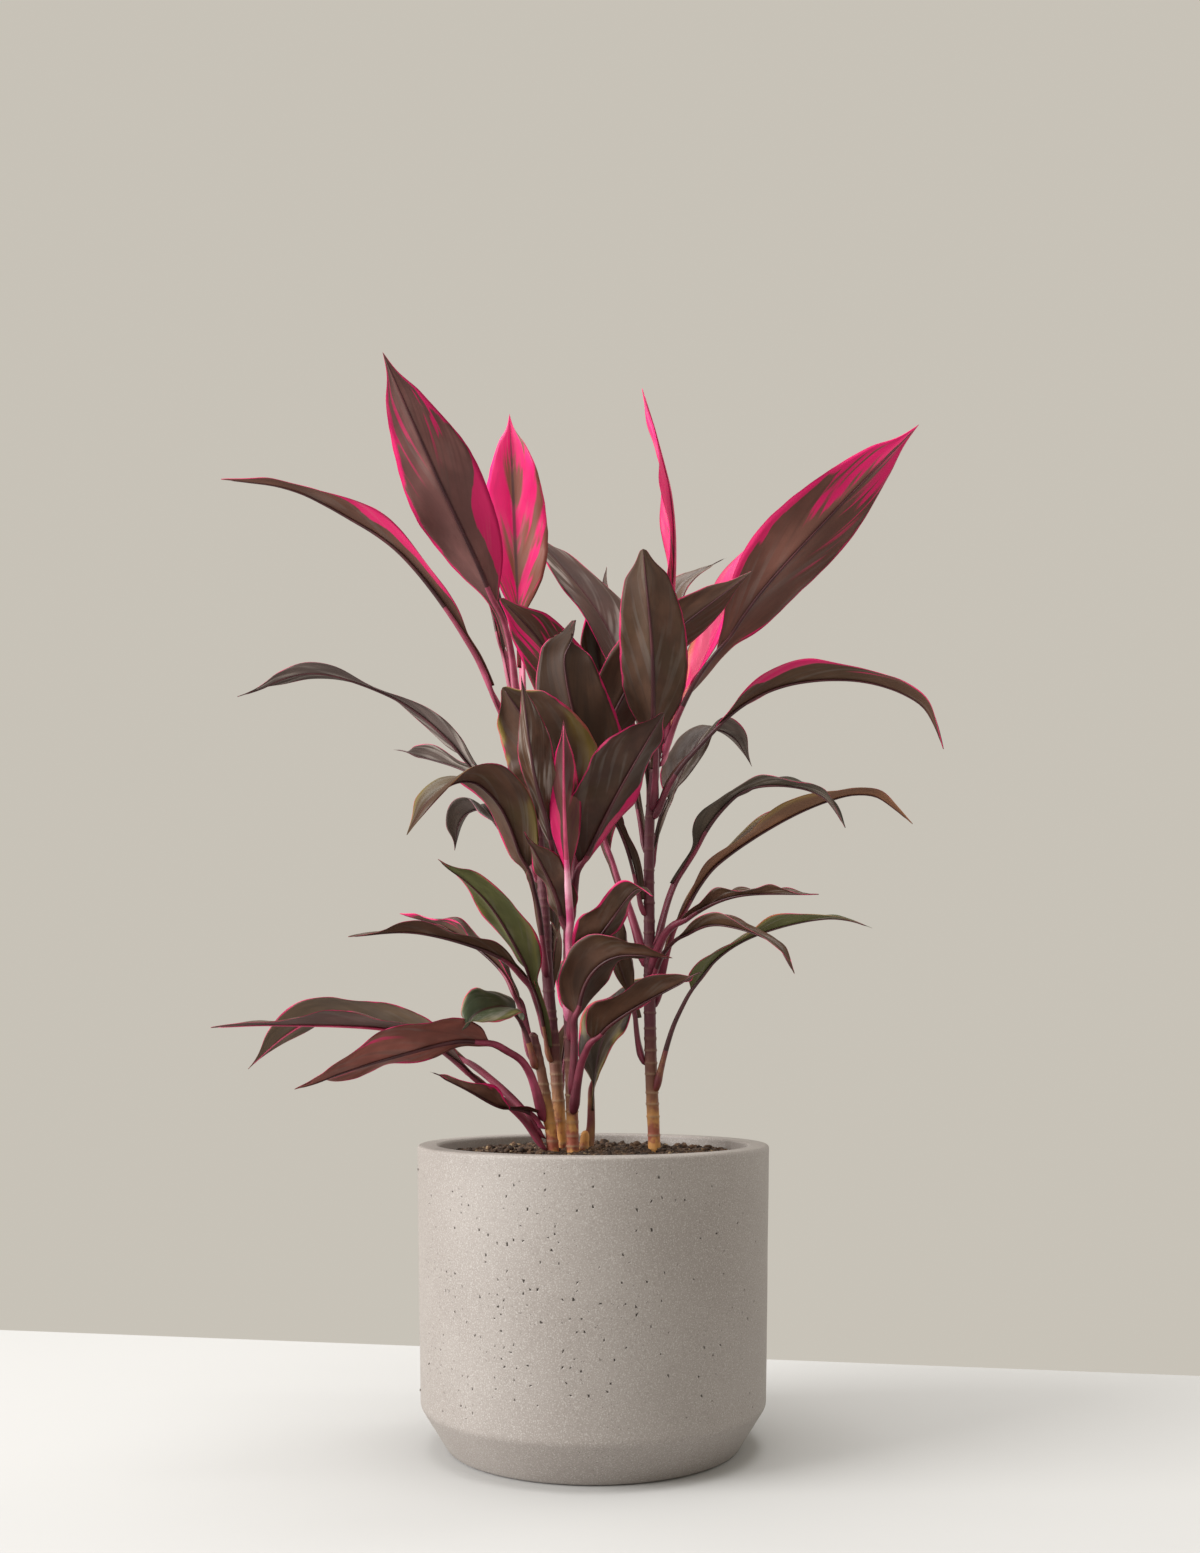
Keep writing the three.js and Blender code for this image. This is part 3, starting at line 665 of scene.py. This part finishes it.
def leafPaint(name, look, upper, length, half):
    paint = Paint(name)
    lap, along = paint.along("leaf")                    # once over the top and back underneath
    across = lap * 2 if upper else 2 - lap * 2
    out = paint.distance(across - 0.5) * 2              # 0 at the midrib, 1 at the margin
    seed = chance.uniform(0, 40)
    veinWay = along * (length * leafLook["veinsAlong"]) - out * (half * leafLook["veinsAcross"])
    strands = paint.cloud(paint.point(veinWay * 0.32, along * 2.2 + across, seed), 1.0, 1, 0.6)
    streaks = paint.cloud(paint.point(veinWay * 0.17, along * 2.6 + across, seed + 3), 1.0, 2, 0.6)
    soft = paint.cloud(paint.point(across * 2.5, along * 5, seed), 1.0, 3, 0.6)
    veins = paint.sine(veinWay * 3.3) * 0.5 + 0.5
    base = look["top"] if upper else look["under"]
    colour = paint.mix(paint.step(soft, 0.35, 0.75), base, tuple(c * 1.7 + 0.004 for c in base))
    colour = paint.mix(paint.step(strands, 0.45, 0.75) * 0.45, colour, tuple(c * 0.55 for c in base))
    patch = paint.cloud(paint.point(across * 1.6, along * 3.2, seed + 7), 1.0, 2)
    if look["olive"]:
        colour = paint.mix(paint.step(patch, 0.46, 0.68) * look["olive"], colour, leafLook["olive"])
    pink = pinkLook["above" if upper else "below"]
    low, high = look["edge"]
    right = paint.step(across, 0.45, 0.55)
    if "band" in look:
        start, end, more = look["band"]
        high = high + paint.between(along, start, end) * more
    if "lowBand" in look:
        start, end, more = look["lowBand"]
        low = low + paint.between(along, start, end) * more
    uneven = paint.cloud(paint.point(across, along * 3.5, seed + 11), 1.0, 1) * 2.6 - 0.3
    share = (right * (high - low) + low) * uneven
    fringe = out + (soft - 0.5) * 0.22 + (streaks - 0.5) * (0.2 + 0.35 * look["streaks"]) + share
    margin = paint.step(fringe, 0.96, 1.0) * paint.step(along, 0.08, 0.25)
    hair = paint.step(out, 0.955, 0.985)
    rare = 0.80 - 0.13 * look["streaks"]
    stroke = paint.step(streaks + along * 0.12 + out * 0.05, rare, rare + 0.04)
    nearTip = paint.step(along + out * 0.25, 0.62, 0.95)
    rising = along + (streaks - 0.5) * (0.5 + 0.6 * look["streaks"]) + (across - 0.5) * 0.1
    flood = paint.step(rising, look["flood"] - 0.03, look["flood"] + 0.06)
    if look["streaks"]:
        colour = paint.mix(stroke * nearTip * 0.9, colour, pink)
    flush = paint.mix(paint.step(soft, 0.3, 0.8), pink, tuple(c * 0.7 for c in pink))
    colour = paint.mix(flood * 0.95, colour, flush)
    colour = paint.mix(margin * 0.9, colour, pink)
    colour = paint.mix(hair * look["hair"], colour, pink)
    if look["brown"]:
        dull = paint.step(streaks + across * 0.25 - along * 0.3, 0.45, 0.55)
        colour = paint.mix(dull * look["brown"], colour, leafLook["brown"])
    if look["yellow"]:
        fleck = paint.step(patch + out * 0.2, 0.66, 0.74) * paint.step(out, 0.5, 0.95)
        colour = paint.mix(fleck * look["yellow"], colour, leafLook["straw"])
    # pale grey streaks along the veins: a painted sheen, highlight painted into the colour
    paintedSheenStreaks = paint.step(strands + soft * 0.3, 0.62, 0.80) * paint.step(patch, 0.38, 0.6)
    colour = paint.mix(paintedSheenStreaks * look["paintedSheenShare"], colour, leafLook["paintedSheenStreaks"])
    rib = 1 - paint.step(out, 0.025, 0.075)
    ribColour = look.get("rib", leafLook["ribAbove" if upper else "ribBelow"])
    colour = paint.mix(rib * 0.75, colour, ribColour)
    rough = look["gloss"] + soft * 0.16 + (0.0 if upper else 0.1)
    relief = paint.bump((veins * 0.12 + strands * 0.5) * look["veins"], leafLook["relief"], 0.25)
    return paint.finish(colour, rough, relief, Specular_IOR_Level=look["shine"])


def stalkPaint(name, shade, flushed):
    paint = Paint(name)
    around, along = paint.along("leaf")
    patches = paint.cloud(paint.place(), 45, 3)
    fibres = paint.cloud(paint.point(around * 7, along * 7), 1.0, 2)
    colour = paint.mix(paint.step(patches, 0.35, 0.7), shade, flushed)
    colour = paint.mix(paint.step(fibres, 0.5, 0.8) * 0.4, colour, tuple(c * 0.6 for c in shade))
    relief = paint.bump(fibres, 0.0003, 0.3)
    return paint.finish(colour, 0.4 + patches * 0.15, relief, Specular_IOR_Level=0.4)


def makeLeaf(node, canes, stalks):
    look = {**leafUsual, **leafKinds[slotOf[node]], **leafLooks.get(node, {})}
    middles, lefts, rights, ups = leafRails(node)
    apart = sum(rights, Vector()) - sum(lefts, Vector())
    run = middles[-1] - middles[len(middles) // 3]
    standing = abs(run.x) < leafLook["upright"] * abs(run.z)
    if (apart.x if standing else apart.z) < 0:          # the second margin is the upper or the right one
        lefts, rights = rights, lefts
    count = len(middles) - 1
    halves = [(r - m).length for r, m in zip(rights, middles)]
    widest = max(halves)
    atWidest = halves.index(widest) / count
    bladeFrom = max(i for i in range(count) if halves[i] < halves[0] * 1.05 and i < count * 0.6) / count
    start = bladeFrom * 0.55
    phases = (chance.uniform(0, 6.28), chance.uniform(0, 6.28))
    waves = chance.uniform(1.6, 2.8)
    shift = Vector((chance.uniform(0, 50), 0, 0))
    bm = bmesh.new()
    uvLayer = bm.loops.layers.uv.new("leaf")

    @functools.cache
    def station(t):
        middle, up = between(middles, t), between(ups, t).normalized()
        sides = [between(margin, t) - middle for margin in (lefts, rights)]
        half = max(sum(side.length for side in sides) / 2, 1e-6)
        share = max(min(half / widest, 1), 0.02)
        power = look["tipFull"] if t > atWidest else look["baseFull"]
        fuller = look["wide"] * leafLook["wide"] * share ** (power - 1)
        place, spread, amount = look["pinch"]
        fuller *= 1 - amount * math.exp(-((t - place) / spread) ** 2)
        point = min(max((t - leafLook["dripFrom"]) / leafLook["dripLong"], 0), 1)
        fuller *= 1 - leafLook["drip"] * point * point * (3 - 2 * point)
        grown = min(max((t - bladeFrom) * 6, 0), 1)
        fuller = 1 + (fuller - 1) * grown
        sides = [(side - up * side.dot(up) * leafLook["flatten"]) * fuller for side in sides]
        return middle, *sides, up

    def sheet(u, v):  # over the top from margin to margin, then back underneath
        across, side = (2 * u, 1) if u <= 0.5 else (2 - 2 * u, -1)
        t = start + (1 - start) * v
        out = abs(2 * across - 1)
        middle, left, right, up = station(t)
        edge = right if across > 0.5 else left
        grown = min(max((t - bladeFrom) / (1 - bladeFrom), 0), 1)
        swell = math.sin(math.pi * grown) ** 0.7 if 0 < grown < 1 else 0.0
        lift = edge.length * leafLook["crown"] * 4 * (out - out * out)
        phase = phases[across > 0.5]
        lift += leafLook["wave"] * swell * out ** 1.7 * math.sin(2 * math.pi * waves * grown + phase)
        spot = Vector((grown * 9, across * 3, 0)) + shift
        lift += leafLook["ripple"] * swell * out * noise.noise(spot)
        folds = math.sin(2 * math.pi * (grown * 7 - out * 2.2) + phase) * (out - out ** 4)
        lift += leafLook["pleat"] * look["pleat"] * swell * folds
        lift += side * leafLook["thick"] / 2 * (1 - out ** 8) * min(1, v * 30)
        frayed = noise.noise(Vector((grown * 22, across * 40, 3)) + shift)
        ragged = 1 + leafLook["ragged"] * swell * frayed
        return middle + edge * out * ragged + up * lift

    _, faces = layGrid(bm, leafLook["across"] * 2, leafLook["along"], sheet, uvLayer)
    for face in faces:
        face.material_index = 0 if max(loop[uvLayer].uv.x for loop in face.loops) < 0.501 else 1
    bmesh.ops.remove_doubles(bm, verts=bm.verts, dist=1e-6)
    bmesh.ops.recalc_face_normals(bm, faces=bm.faces)

    foot = middles[0]
    cane = min(canes.values(), key=lambda line: min((m - foot).length for m in line[0]))
    nearest = min(range(200), key=lambda i: abs(between(cane[0], i / 199).z - foot.z)) / 199
    core, coreRadius = between(cane[0], nearest), between(cane[1], nearest)
    outward = Vector((foot.x - core.x, foot.y - core.y, 0)).normalized()
    clasp = core + outward * (coreRadius - leafLook["claspIn"]) - Vector((0, 0, leafLook["claspDown"]))
    way = [clasp] + middles
    for i in leafLook["easedOver"]:                     # an easy bend where the stalk leaves the cane
        way[i] = way[i] * 0.35 + (way[i - 1] + way[i + 1]) * 0.325
    wayUps = [-outward] + ups
    atBlade = (bladeFrom * count + 1) / (count + 1)
    thick, atStart, thin = leafLook["stalk"]

    @functools.cache
    def wayAt(t):
        up = between(wayUps, t).normalized()
        side = up.cross(between(way, t + 0.01) - between(way, t - 0.01)).normalized()
        return between(way, t), up, side

    def rod(u, v):
        t = v * 0.985
        middle, up, side = wayAt(t)
        if t < atBlade:
            radius = thick + (atStart - thick) * t / atBlade
        else:
            radius = atStart + (thin - atStart) * ((t - atBlade) / (1 - atBlade)) ** 0.6
        reach = t * (count + 1)                         # 1 where the clasp ends
        if reach < 1:
            radius *= 0.45 + 0.7 * math.sin(math.pi / 2 * reach)
        else:
            radius *= 1 + 0.15 * max(0.0, 2 - reach)
        if v in (0, 1):
            radius = 0
        drop = radius * 0.25
        turn = 2 * math.pi * u
        flat = 0.3 if math.sin(turn) > 0 else 1.0
        return middle - up * drop + (side * math.cos(turn) + up * math.sin(turn) * flat) * radius

    verts, faces = layGrid(bm, leafLook["stalkAround"], leafLook["stalkAlong"], rod, uvLayer)
    for face in faces:
        along = min(loop[uvLayer].uv.y for loop in face.loops)
        face.material_index = 2 if along < atBlade + 0.08 else 3
    bmesh.ops.remove_doubles(bm, verts=verts, dist=1e-7)
    bmesh.ops.recalc_face_normals(bm, faces=[f for f in bm.faces if f in faces])
    length = sum((b - a).length for a, b in zip(middles, middles[1:]))
    materials = [leafPaint(node + "_upper", look, True, length, widest),
                 leafPaint(node + "_lower", look, False, length, widest),
                 stalks[look.get("stalk", slotOf[node])], stalks[look["midrib"]]]
    keepPiece(node + "_blade", bm, materials, [node], slotOf[node])


# Floor

def makeFloor():
    back = room["backEdge"]
    turned = Matrix.Rotation(math.radians(room["turned"]), 3, "Z")
    bm = bmesh.new()
    bmesh.ops.create_grid(bm, x_segments=1, y_segments=1, size=0.5)
    bmesh.ops.scale(bm, verts=bm.verts, vec=(*room["top"], 1))
    bmesh.ops.translate(bm, verts=bm.verts, vec=(0, back - room["top"][1] / 2, potLow.z - room["below"]))
    bmesh.ops.rotate(bm, verts=bm.verts, cent=(0, back, 0), matrix=turned)
    mesh = bpy.data.meshes.new("floor")
    bm.to_mesh(mesh)
    bm.free()
    mesh.materials.append(Paint("floor_matte").finish(room["floor"], 0.95, Specular_IOR_Level=0.1))
    floor = bpy.data.objects.new("floor", mesh)
    bpy.context.scene.collection.objects.link(floor)


# Putting it together

makeCamera()
makeLights()
print("camera and lights are in place")

makePot()
print("planter made")

canes = {node: caneLine(node) for node, slotName in slotOf.items() if slotName == "cane"}
bark = canePaint()
for node, line in canes.items():
    makeCane(node, line, bark)
print("canes made:", len(canes))

makeSoil([(between(middles, 0.3).xy, soilLook["caneGap"]) for middles, _ in canes.values()])
print("soil made")

stalks = {
    "leaf_dark": stalkPaint("stalk_maroon", (0.13, 0.022, 0.038), (0.26, 0.04, 0.075)),
    "leaf_mauve": stalkPaint("stalk_rose", (0.22, 0.03, 0.06), (0.42, 0.07, 0.14)),
    "leaf_pink": stalkPaint("stalk_pink", (0.38, 0.05, 0.12), (0.62, 0.16, 0.25)),
    "dark": stalkPaint("midrib_dark", (0.045, 0.009, 0.012), (0.085, 0.018, 0.022)),
    "pink": stalkPaint("midrib_pink", (0.40, 0.03, 0.09), (0.60, 0.08, 0.18)),
    "bright": stalkPaint("stalk_bright", (0.55, 0.07, 0.20), (0.80, 0.40, 0.50)),
    "leaf_green": stalkPaint("stalk_olive", (0.16, 0.03, 0.035), (0.30, 0.15, 0.05)),
}
for node, slotName in slotOf.items():
    if slotName.startswith("leaf"):
        makeLeaf(node, canes, stalks)
print("leaves made")

makeFloor()
print("floor laid")
